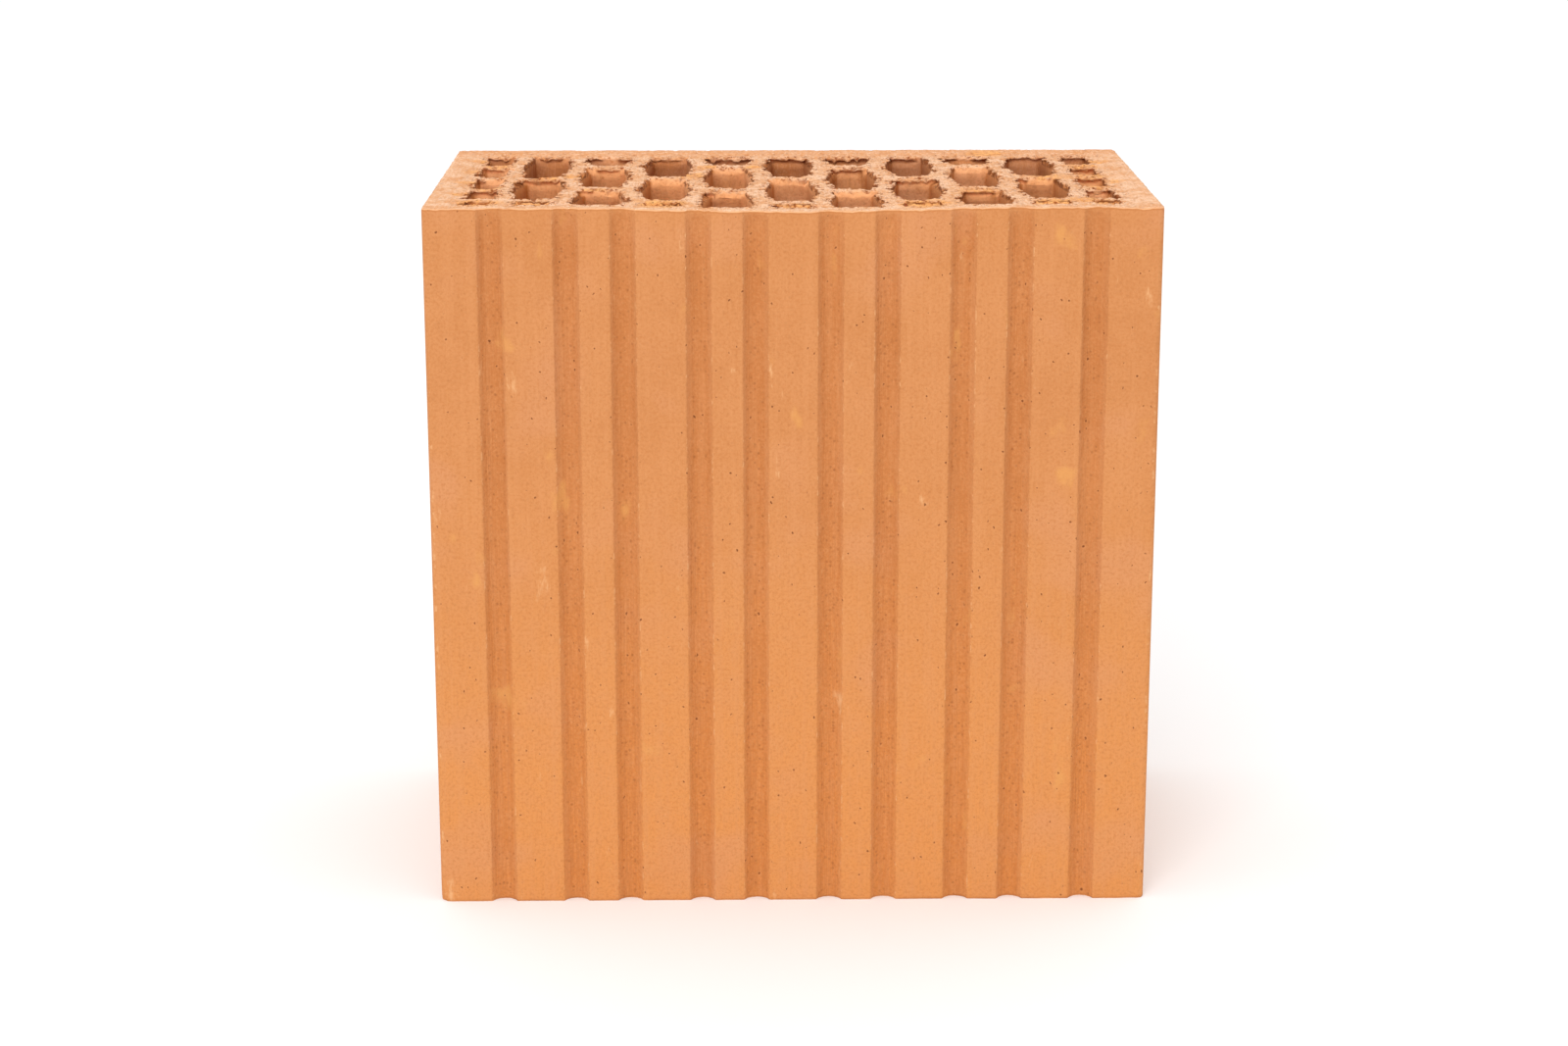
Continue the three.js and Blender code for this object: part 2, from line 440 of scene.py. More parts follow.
def chip_lower_mouth(island, seed):
    """The lower mouths are cleaner: the wire enters the clay here and only chips their rims."""
    middle, _ = span(island)
    for point in {v for f in island for v in f.verts}:
        near = fade(0, CHIP_REACH, point.co.z)
        if near > 0:
            away = Vector((point.co.x - middle.x, point.co.y - middle.y, 0)).normalized()
            chipped = CHIP_DEPTH * ripple(point.co.x + point.co.y, 5 * MM, seed + LOWER_CHIPS)
            point.co += away * near * chipped


# -------- crumbs

# Crusts of torn clay that stick to the upper bed: place in plan and width, in mm. Each is a group
# of small lumps.
CRUSTS = [
    (-73, 55, 2.6), (-71, 8, 2.6), (-73, 2, 2.2), (-84, 3, 2.4), (-80, -8, 2.0), (-66, -27, 2.6),
    (-60, -56, 2.0), (-55, -58, 1.8), (-49, 59, 2.0), (-44, 4, 1.8), (-46, -52, 2.6), (-41, -55, 2.8),
    (-37, -52, 2.2), (-29, 29, 2.6), (-12, 30, 2.2), (-25, -18, 3.0), (-21, -21, 2.4), (-26, -25, 2.4),
    (6, 48, 2.2), (8, -14, 2.2), (6, -55, 2.4), (19, 27, 2.8), (24, 29, 2.0), (16, -23, 2.0),
    (30, -23, 1.8), (44, 2, 2.4), (38, 2, 2.2), (48, -55, 1.8), (61, 60, 2.2), (66, 31, 2.2),
    (64, -29, 2.6), (58, -27, 2.6), (68, -29, 2.4), (75, 61, 2.2), (90, 3, 3.0), (94, 1, 2.8),
    (86, 3, 2.2), (80, -18, 2.0), (101, 28, 2.4), (106, 29, 2.2), (100, 3, 2.2), (105, 3, 2.0),
    (96, -30, 2.0), (-99, 30, 2.4), (-104, 30, 2.2), (-97, 55, 2.2), (-97, 3, 2.0), (-103, -23, 2.2),
    (85, -54, 2.2),
]
LUMPS_IN_CRUST = 6
CRUST_SPREAD = (0.9, 0.7)        # furthest that a lump lies from the middle, in widths of its crust
LUMP_SIZES = (0.35, 0.7)         # and its size, likewise
RIM_CRUMBS = 260                 # loose ones strewn along the mouths
RIM_CRUMB_SIZES = (0.5, 1.2)     # their size, in mm
RIM_CRUMB_PLACES = (0.2, 1.6)    # and how far they lie from the mouth, in mm
CRUMB_GAP = 0.85                 # least distance between two lumps, as a share of their sizes
CRUMB_SEED = 11
FINELY_MADE = 1.3 * MM           # lumps larger than this have more facets
LUMP_SHAPE = (1, 1.5, 0.6, 1)    # longer than wide, and flatter
LUMP_SINK = 0.12                 # how far its middle lies under the bed, as a share of its size


def add_crumb(bm, place, size, turn):
    """A lumpy crumb, about half of it above the bed."""
    detail = 2 if size > FINELY_MADE else 1
    made = bmesh.ops.create_icosphere(bm, subdivisions=detail, radius=size / 2)
    own_noise = Vector((place.x, place.y, turn)) * 900
    for point in made["verts"]:
        point.co *= 1 + 0.8 * noise.noise(point.co * (1.9 / size) + own_noise)
    middle = Matrix.Translation((place.x, place.y, HEIGHT - LUMP_SINK * size))
    bmesh.ops.transform(bm, matrix=middle @ Matrix.Rotation(turn, 4, "Z") @ Matrix.Diagonal(LUMP_SHAPE),
                        verts=made["verts"])


def rim_places(draw, count):
    """Seeded places on the webs right beside the cells."""
    bm = only(outer=False)
    walls = list(bm.faces)
    places = []
    for _ in range(count):
        wall = draw.choice(walls)
        start, end = [v.co for v in wall.verts if v.co.z > HEIGHT / 2][:2]
        places.append(start.lerp(end, draw.random()) - wall.normal * draw.uniform(*RIM_CRUMB_PLACES) * MM)
    bm.free()
    return places


def crumbs():
    """All the lumps, each of them clear of the others."""
    draw = random.Random(CRUMB_SEED)
    wanted = []
    for x, y, width in CRUSTS:
        for _ in range(LUMPS_IN_CRUST):
            spread = Vector([draw.uniform(-most, most) for most in CRUST_SPREAD]) * width
            size = draw.uniform(*LUMP_SIZES) * width * MM
            wanted.append((Vector((x, y)) * MM + spread * MM, size))
    for place in rim_places(draw, RIM_CRUMBS):
        wanted.append((place.xy, draw.uniform(*RIM_CRUMB_SIZES) * MM))
    bm = bmesh.new()
    placed = []
    for place, size in wanted:
        if all((place - other).length > CRUMB_GAP * (size + room) for other, room in placed):
            placed.append((place, size))
            add_crumb(bm, place, size, draw.uniform(0, math.tau))
    bmesh.ops.recalc_face_normals(bm, faces=bm.faces[:])
    return bm


# -------- solid block


def fine_slab():
    """A slab of the block's height, wider than the block, whose two beds have a fine net of points."""
    bm = bmesh.new()
    size = Vector((LENGTH + 2 * OVERLAP, THICKNESS + 2 * OVERLAP))
    for height, (step_x, step_y) in ((HEIGHT, UPPER_NET), (0, LOWER_NET)):
        place = Matrix.Translation((0, 0, height)) @ Matrix.Diagonal((size.x, size.y, 1, 1))
        bmesh.ops.create_grid(bm, x_segments=round(size.x / step_x), y_segments=round(size.y / step_y),
                              size=0.5, matrix=place)
    bmesh.ops.bridge_loops(bm, edges=[e for e in bm.edges if e.is_boundary])
    bmesh.ops.recalc_face_normals(bm, faces=bm.faces[:])
    return bm


def in_scene(name, data):
    """A new object with this data."""
    obj = bpy.data.objects.new(name, data)
    bpy.context.scene.collection.objects.link(obj)
    return obj


def as_object(bm, name, material):
    mesh = bpy.data.meshes.new(name)
    bm.to_mesh(mesh)
    bm.free()
    mesh.materials.append(material)
    return in_scene(name, mesh)


def join_and_cut(base, steps):
    """What is left of base after each (operation, tool) has worked on it. The tools are used up."""
    for operation, tool in steps:
        work = base.modifiers.new(tool.name, "BOOLEAN")
        work.operation = operation
        work.solver = "MANIFOLD"
        work.material_mode = "TRANSFER"
        work.object = tool
    depsgraph = bpy.context.evaluated_depsgraph_get()
    result = bpy.data.meshes.new_from_object(base.evaluated_get(depsgraph))
    for obj in [base] + [tool for _, tool in steps]:
        bpy.data.objects.remove(obj)
    return result


# -------- relief of the upper bed

# Dents in the webs: place in plan, radius and depth, in mm.
DENTS = [
    (-88, 4, 9, 0.4), (-103, 4, 7, 0.4), (-103, -21, 6, 0.4), (-72, -50, 4, 0.5), (78, -54, 4, 0.3),
    (27, -22, 4, 0.7), (39, 4, 5, 0.5), (88, 3, 5, 0.4), (33, -10, 2.5, 1.3), (-76.6, 3, 2.7, 1.4),
    (-30, 28, 2.8, 1.2), (-13, 29, 2.4, 1.1), (-88, 58, 2.2, 1.2), (-71, -56, 2.6, 1.3),
]
SHADED_DENT_DEPTHS = (0.9, 1.2)          # depths between which a dent goes from no painted shade to full painted shade

# Places where the torn clay has dried to ochre: place in plan and radius, in mm.
OCHRE_PATCHES = [
    (-75, 6, 5), (-84, 3, 6), (-103, -55, 10), (-43, -54, 12), (-66, -28, 6), (0, -56, 6),
    (43, -55, 12), (-32, 8, 9), (-103, 30, 6), (-103, -22, 6), (63, -33, 11), (90, 2, 9),
    (104, -22, 5), (97, -50, 8), (86, -53, 8), (104, 28, 8), (104, 4, 7), (-29, 30, 5),
    (-12, 30, 5), (72, 61, 9), (-110, 44, 5), (-110, 17, 5), (-110, -9, 5), (-110, -36, 5),
    (110, -8, 6), (110, 40, 6),
]

DRAG_WAVE = (1.3 * MM, 22 * MM)  # drag lines along Y
GRAIN_WAVE = (2.0 * MM, 2.6 * MM)
SWELL_WAVE = (9 * MM, 12 * MM)
PIT_WAVE = (2.0 * MM, 2.4 * MM)
RUBBLE_WAVE = (2.4 * MM, 3 * MM)
DRAG_HEIGHT = 0.05 * MM
SWELL_HEIGHT = 0.07 * MM
GRAIN_HEIGHT = (0.08 * MM, 0.17 * MM)  # on the solid shell, and how much more on the webs
PIT_DEPTH = (0.15 * MM, 0.6 * MM)      # likewise
RIM_BUMPS = 0.07 * MM            # along the outer rims of the bed
RIM_BEAD = 0.12 * MM             # raised round each mouth

FILM_SAG = 0.3 * MM              # thin clay dragged over a cell hangs lower than the bed
FILM_RUBBLE = 0.25 * MM          # and is uneven
STUB_LINE = -50 * MM             # the short cells in front of this are closed by thicker, lower clay
STUB_SAG = 1.0 * MM
STUB_RUBBLE = 0.4 * MM

# What the materials read at every point, from 0 to 1. Webbed is strongest right beside a mouth,
# sunken is the low clay that closes a short cell. The last three hold painted shade: on the cells'
# side walls, in a deep dent, and in the cracks down the side of a mouth.
MARKS = ["fresh_cut", "dragged", "pitted", "webbed", "ochre", "sunken", "side_shade", "dent_shade", "crack_shade"]


def wire_sag(x, y):
    """How far the wire's sag lowers the upper bed. It fades out toward the rear."""
    toward_front = min(max(0.5 - y / THICKNESS, 0.0), 1.0) ** 1.3
    middle = WIRE_SAG * max(0.0, 1 - (x / WIRE_SAG_HALF_SPAN) ** 2)
    ends = END_SAG * smooth(0.85, 0.96, abs(x) / HIGH.x)
    dip, width = RIGHT_END_DIP
    right = RIGHT_END_SAG * math.exp(-((x - dip) / width) ** 2)
    return (middle + ends + right) * toward_front


def waves(x, y, wave, level):
    """The point to read noise at, for waves of the given lengths along X and Y."""
    return Vector((x / wave[0], y / wave[1], level))


def torn_relief(x, y, rim):
    """Depth of the torn surface under its own level, how pitted it is, and how far it is web and
    clay right beside a mouth. rim is the distance to the nearest cell."""
    web = fade(3 * MM, 8 * MM, rim)
    beside = fade(0.8 * MM, 2.6 * MM, rim)
    drag = noise.noise(waves(x, y, DRAG_WAVE, 1.5))
    grain = noise.fractal(waves(x, y, GRAIN_WAVE, 4), 0.6, 2.2, 3)
    swell = noise.noise(waves(x, y, SWELL_WAVE, 8))
    pit = smooth(0.24, 0.4, noise.noise(waves(x, y, PIT_WAVE, 11)))
    depth = DRAG_HEIGHT * drag + SWELL_HEIGHT * swell
    for value, (on_shell, more_on_web) in ((grain, GRAIN_HEIGHT), (pit, PIT_DEPTH)):
        depth += (on_shell + more_on_web * web) * value
    outer_rim = math.exp(-(min(HIGH.x - abs(x), HIGH.y - abs(y)) / (1.8 * MM)) ** 2)
    depth += RIM_BUMPS * outer_rim * ripple(x + 1.3 * y, 2.6 * MM, 21)
    depth -= RIM_BEAD * math.exp(-(rim / (0.9 * MM)) ** 2)
    return depth, pit * (0.25 + 0.25 * web + 0.5 * beside), web, beside


def rubble(x, y):
    """Uneven heaps of clay, about -1 to 1."""
    return 2 * noise.fractal(waves(x, y, RUBBLE_WAVE, 15), 0.8, 2.1, 3)


def film_sag(x, y, inside):
    """How far the clay that closes a mouth hangs, at a distance inside the cell."""
    if y < STUB_LINE:
        return smooth(0, 1.1 * MM, inside) * (STUB_SAG + STUB_RUBBLE * rubble(x, y))
    return smooth(0, 1.6 * MM, inside) * (FILM_SAG + FILM_RUBBLE * rubble(x, y))


def dents(x, y):
    """How deep the dents are at a place, and how much painted shade they get."""
    depth, painted_shade = 0.0, 0.0
    for dent_x, dent_y, radius, deepest in DENTS:
        away = math.hypot(x - dent_x * MM, y - dent_y * MM) / (radius * MM)
        if away < 1:
            depth += deepest * MM * fade(0.2, 1, away)
            painted_shade = max(painted_shade, smooth(*SHADED_DENT_DEPTHS, deepest) * fade(0.1, 1.0, away))
    return depth, painted_shade


def patch(x, y, places):
    """1 inside any of the round places, and 0 outside them all."""
    return max(fade(0.45, 1.0, math.hypot(x - px * MM, y - py * MM) / (radius * MM))
               for px, py, radius in places)


def painted_side_shade(point):
    """Painted shade on the cells' walls that face right, and on the right half on those that face left.
    """
    from_left = smooth(0.2, 0.7, point.normal.x)
    from_right = smooth(0.2, 0.7, -point.normal.x)
    return from_left + 0.75 * from_right * smooth(-10 * MM, 20 * MM, point.co.x)


def tear(point, inside):
    """Lowers a point of the upper bed to the torn surface, and returns its marks. inside is how far
    it lies inside a cell, and less than 0 on the clay."""
    x, y = point.co.x, point.co.y
    depth = HEIGHT - point.co.z
    relief, pit, web, beside = torn_relief(x, y, abs(inside))
    drop = SHELL_SETTLE + WEB_SETTLE * web + wire_sag(x, y) + relief
    if inside > 0:
        drop += film_sag(x, y, inside)
    dent, painted_shade = dents(x, y)
    weight = fade(0.9 * MM, LOOSE_DEPTH, depth)
    point.co.z = min(point.co.z - weight * (drop + dent), HEIGHT)
    heaped = smooth(0.35, 0.8, rubble(x, y)) if inside > 0.5 * MM else 0.0
    return {
        "fresh_cut": fade(0.15 * MM, 0.75 * MM, depth),
        "dragged": smooth(-0.5 * MM, 0.6 * MM, inside) * fade(0.6 * MM, 1.4 * MM, depth),
        "pitted": max(pit, heaped),
        "webbed": 0.25 * web + 0.75 * beside,
        "ochre": patch(x, y, OCHRE_PATCHES),
        "sunken": smooth(0.1 * MM, 0.7 * MM, inside) if y < STUB_LINE else 0.0,
        "dent_shade": painted_shade,
        # painted shade in the cracks down the sides of a mouth
        "crack_shade": smooth(0.3, 0.8, abs(point.normal.x)) * fade(1.6 * MM, 3 * MM, depth),
    }


def drawn_cells():
    """The walls of the cells before they are torn, to find the nearest one to any place."""
    bm = only(outer=False)
    walls = BVHTree.FromBMesh(bm)
    bm.free()
    return walls


def how_far_inside(walls, x, y):
    """Distance of a place from the nearest cell's wall, less than 0 on the clay."""
    place = Vector((x, y, HEIGHT / 2))
    wall, normal, _, distance = walls.find_nearest(place)
    return distance if (place - wall).dot(normal) > 0 else -distance


def drop_loose_bits(bm):
    """Keeps the block alone, without slivers and without bits that hang in the air."""
    bmesh.ops.dissolve_degenerate(bm, dist=WELD, edges=bm.edges[:])
    loose = sorted(islands(bm), key=len)[:-1]
    bmesh.ops.delete(bm, geom=[f for island in loose for f in island], context="FACES")


def finish_beds(mesh):
    """Lets the upper bed sag and tears it, and writes down what the materials need to know."""
    walls = drawn_cells()
    bm = bmesh.new()
    bm.from_mesh(mesh)
    drop_loose_bits(bm)
    layers = {name: bm.verts.layers.float.new(name) for name in MARKS}
    bm.normal_update()
    for point in bm.verts:
        marks = {"side_shade": painted_side_shade(point)}
        if HEIGHT - point.co.z > LOOSE_DEPTH:
            marks["fresh_cut"] = fade(0, 0.6 * MM, point.co.z)
        else:
            marks.update(tear(point, how_far_inside(walls, point.co.x, point.co.y)))
        for name, value in marks.items():
            point[layers[name]] = value
    bm.to_mesh(mesh)
    bm.free()


def clay_block(finishes):
    """Builds the block from its slab, skin, cells and crumbs, with one finish for each of them."""
    slab = as_object(fine_slab(), "slab", finishes["cut_bed"])
    lumps = as_object(crumbs(), "crumbs", finishes["crust"])
    prism = as_object(outer_prism(), "prism", finishes["drawn_face"])
    cores = as_object(cell_cores(), "cores", finishes["cell_wall"])
    mesh = join_and_cut(slab, [("INTERSECT", prism), ("DIFFERENCE", cores), ("UNION", lumps)])
    finish_beds(mesh)
    mesh.shade_smooth()
    mesh.set_sharp_from_angle(angle=SHARP_EDGE)
    block = in_scene("fired_block", mesh)
    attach(block, "root")
    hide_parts(NODE)


# -------- shader building blocks


def put(tree, kind, inputs=None, **settings):
    """Adds a node with its settings, and fills its inputs with values or links."""
    node = tree.nodes.new(kind)
    for name, value in settings.items():
        setattr(node, name, value)
    for socket, value in (inputs or {}).items():
        if isinstance(value, bpy.types.NodeSocket):
            tree.links.new(value, node.inputs[socket])
        else:
            node.inputs[socket].default_value = value
    return node


def reckon(tree, operation, first, second=0.0):
    return put(tree, "ShaderNodeMath", {0: first, 1: second}, operation=operation).outputs[0]


def times(tree, first, second):
    return reckon(tree, "MULTIPLY", first, second)


def total(tree, *terms):
    """Sum of (value, factor) pairs. A pair of plain numbers adds a constant."""
    level = 0.0
    for value, factor in terms:
        inputs = {0: value, 1: factor, 2: level}
        level = put(tree, "ShaderNodeMath", inputs, operation="MULTIPLY_ADD").outputs[0]
    return level


def ramp(tree, value, low, high, top=1.0, bottom=0.0):
    """An even S from bottom at low to top at high."""
    inputs = {"Value": value, "From Min": low, "From Max": high, "To Min": bottom, "To Max": top}
    return put(tree, "ShaderNodeMapRange", inputs, interpolation_type="SMOOTHSTEP").outputs["Result"]


def blend(tree, amount, first, second, how="MIX"):
    """Two colours mixed by an amount."""
    first, second = [(*c, 1) if isinstance(c, tuple) else c for c in (first, second)]
    inputs = {0: amount, 6: first, 7: second}
    return put(tree, "ShaderNodeMix", inputs, data_type="RGBA", blend_type=how).outputs[2]


def layered(tree, colour, *layers):
    """A colour with layers over it. Each is its amount, its colour and, if not MIX, its blend type."""
    for amount, above, *how in layers:
        colour = blend(tree, amount, colour, above, *how)
    return colour


def axes(tree, place):
    """X, Y and Z of a place."""
    return put(tree, "ShaderNodeSeparateXYZ", {0: place}).outputs[0:3]


def stretched(tree, vector, scale):
    return put(tree, "ShaderNodeMapping", {"Vector": vector, "Scale": scale}).outputs["Vector"]


def cloud(tree, vector, size, detail=2.0, roughness=0.5, shift=0.0):
    """Noise with features of the given size, in metres."""
    moved = put(tree, "ShaderNodeVectorMath", {0: vector, 1: (shift, shift, shift)}, operation="ADD")
    inputs = {"Vector": moved.outputs[0], "Scale": 1 / size, "Detail": detail, "Roughness": roughness}
    return put(tree, "ShaderNodeTexNoise", inputs).outputs["Fac"]


def scattered(tree, vector, scale):
    """Random cells: the distance from the middle of each one, and three numbers drawn for it."""
    cell = put(tree, "ShaderNodeTexVoronoi", {"Vector": vector, "Scale": scale}).outputs
    return cell["Distance"], put(tree, "ShaderNodeSeparateColor", {"Color": cell["Color"]}).outputs


def link(tree, node, **values):
    """Links values to a node's inputs."""
    for socket, value in values.items():
        tree.links.new(value, node.inputs[socket])


def new_group(name, inputs, outputs):
    """A shader node group, what it is given and its last node. Its sockets go by name and kind."""
    tree = bpy.data.node_groups.new(name, "ShaderNodeTree")
    for sockets, way in ((inputs, "INPUT"), (outputs, "OUTPUT")):
        for title, kind in sockets.items():
            tree.interface.new_socket(title, in_out=way, socket_type="NodeSocket" + kind)
    return tree, tree.nodes.new("NodeGroupInput").outputs, tree.nodes.new("NodeGroupOutput")


def grit_group():
    """Grains and mottling of fired clay. Size is the size of its grains, in metres."""
    tree, given, result = new_group("clay_grit", {"Vector": "Vector", "Size": "Float"},
                                    {"Mottle": "Float", "Grain": "Float", "Speck": "Float"})
    scale = reckon(tree, "DIVIDE", 1.0, given["Size"])
    vector = given["Vector"]
    grains = {"Vector": vector, "Scale": scale, "Detail": 3.0, "Roughness": 0.65}
    grain = put(tree, "ShaderNodeTexNoise", grains).outputs["Fac"]
    patches = {"Vector": vector, "Scale": reckon(tree, "DIVIDE", scale, 7.0), "Detail": 2.0}
    mottle = put(tree, "ShaderNodeTexNoise", patches).outputs["Fac"]
    away, drawn = scattered(tree, vector, times(tree, scale, 0.8))
    speck = times(tree, ramp(tree, away, 0.55, 0.15), ramp(tree, drawn[0], 0.72, 0.85))
    link(tree, result, Mottle=ramp(tree, mottle, 0.3, 0.7), Grain=ramp(tree, grain, 0.25, 0.75),
         Speck=speck)
    return tree


def drag_group():
    """Fine lines left by the die or the wire. Stretch shrinks the axis that they run along."""
    tree, given, result = new_group("drag_lines", {"Vector": "Vector", "Stretch": "Vector"},
                                    {"Fine": "Float", "Broad": "Float"})
    both = {0: given["Vector"], 1: given["Stretch"]}
    drawn = put(tree, "ShaderNodeVectorMath", both, operation="MULTIPLY").outputs[0]
    fine = ramp(tree, cloud(tree, drawn, 0.5 * MM, 2.0, 0.6), 0.3, 0.7)
    broad = ramp(tree, cloud(tree, drawn, 2.6 * MM, shift=0.4), 0.3, 0.7)
    link(tree, result, Fine=fine, Broad=broad)
    return tree


def pinhole_group():
    """Small pits, most of them tiny. Spacing is the distance between them, Radius the largest's, both
    in metres, and Share is how many of them are there."""
    tree, given, result = new_group(
        "pinholes", {"Vector": "Vector", "Spacing": "Float", "Radius": "Float", "Share": "Float"},
        {"Hole": "Float", "Rim": "Float"})
    scale = reckon(tree, "DIVIDE", 1.0, given["Spacing"])
    distance, drawn = scattered(tree, given["Vector"], scale)
    away = times(tree, distance, given["Spacing"])
    portion = total(tree, (reckon(tree, "POWER", drawn[1], 3.0), 0.65), (0.35, 1.0))
    radius = times(tree, given["Radius"], portion)
    there = reckon(tree, "LESS_THAN", drawn[0], given["Share"])
    relative = reckon(tree, "DIVIDE", away, radius)
    hole = times(tree, there, ramp(tree, relative, 1.2, 0.5))
    rim = times(tree, there, ramp(tree, relative, 2.4, 1.2))
    link(tree, result, Hole=hole, Rim=reckon(tree, "SUBTRACT", rim, hole))
    return tree


GRIT = grit_group()
DRAG = drag_group()
PINHOLES = pinhole_group()


def use(tree, group, **inputs):
    return put(tree, "ShaderNodeGroup", inputs, node_tree=group).outputs


def new_finish(name, roughness):
    """An empty material, its node tree, its shader and the object's own coordinates in it."""
    material = bpy.data.materials.new(name)
    material.use_nodes = True
    tree = material.node_tree
    shader = tree.nodes["Principled BSDF"]
    shader.inputs["Roughness"].default_value = roughness
    shader.inputs["Specular IOR Level"].default_value = 0.25
    place = put(tree, "ShaderNodeTexCoord").outputs["Object"]
    return material, tree, shader, place


def dress(tree, shader, colour, height):
    """Gives the surface its colour, and bumps it by a height in millimetres."""
    tree.links.new(colour, shader.inputs["Base Color"])
    bump = put(tree, "ShaderNodeBump", {"Height": height, "Distance": MM, "Strength": 1.0})
    link(tree, shader, Normal=bump.outputs["Normal"])


def reading(tree, name):
    """One of the marks that finish_beds wrote down."""
    return put(tree, "ShaderNodeAttribute", attribute_name=name, attribute_type="GEOMETRY").outputs["Fac"]


# -------- finishes

LAND = (0.505, 0.200, 0.066)           # drawn faces
LAND_PALE = (0.570, 0.242, 0.090)
LAND_WARM_AND_LIT = (0.605, 0.240, 0.068)      # nearer the foot: warmer clay, and painted light that makes up for the lamp's falloff there
LAND_PINK = (0.570, 0.250, 0.115)
LAND_DARK = (0.440, 0.155, 0.042)      # low grains and die lines
KEY_STAIN = (0.960, 0.880, 0.760)      # what the plaster keys keep of it
OCHRE = (0.610, 0.275, 0.080)          # smears of ochre
# pale scuffs, and the painted highlight on the lips of the keys and on the worn rims
PALE_SCUFF_AND_HIGHLIGHT = (0.690, 0.370, 0.170)
PIT_SHADE = (0.150, 0.038, 0.006)          # painted shade inside pinholes and specks

BED = (0.790, 0.430, 0.225)            # torn beds
BED_PALE = (0.880, 0.560, 0.360)
BED_WARM = (0.720, 0.305, 0.115)
CRUST = (0.690, 0.240, 0.048)          # dragged clay, dried to ochre
CRUST_PALE = (0.920, 0.460, 0.165)
TORN_PIT_SHADE = (0.290, 0.060, 0.005)           # painted shade in the pits, gaps, specks and cracks of a torn bed
DEEP_SHADE = (0.200, 0.048, 0.006)         # painted shadow round sunken clay, in deep dents and in the cracks beside the mouths

CELL = (0.690, 0.305, 0.120)           # walls of the cells
CELL_PINK = (0.740, 0.370, 0.190)
CELL_DARK = (0.480, 0.165, 0.046)
CELL_PAINTED_LIGHT = (0.950, 0.430, 0.180)    # painted light just under the mouth
REAR_CELL_SHADE = (0.780, 0.660, 0.580)     # painted shade on the rearmost walls
SIDE_WALL_SHADE = (0.620, 0.450, 0.245)    # and painted shade on the cells' side walls

UPRIGHT = (1.0, 1.0, 0.03)             # stretch for lines along Z
ALONG_Y = (1.0, 0.04, 1.0)             # and along Y
RAGGED = 0.0009                        # share of noise that makes the pinholes ragged

FLOOR_WHITE = (0.93, 0.93, 0.93)
FLOOR_ROUGHNESS = 0.9


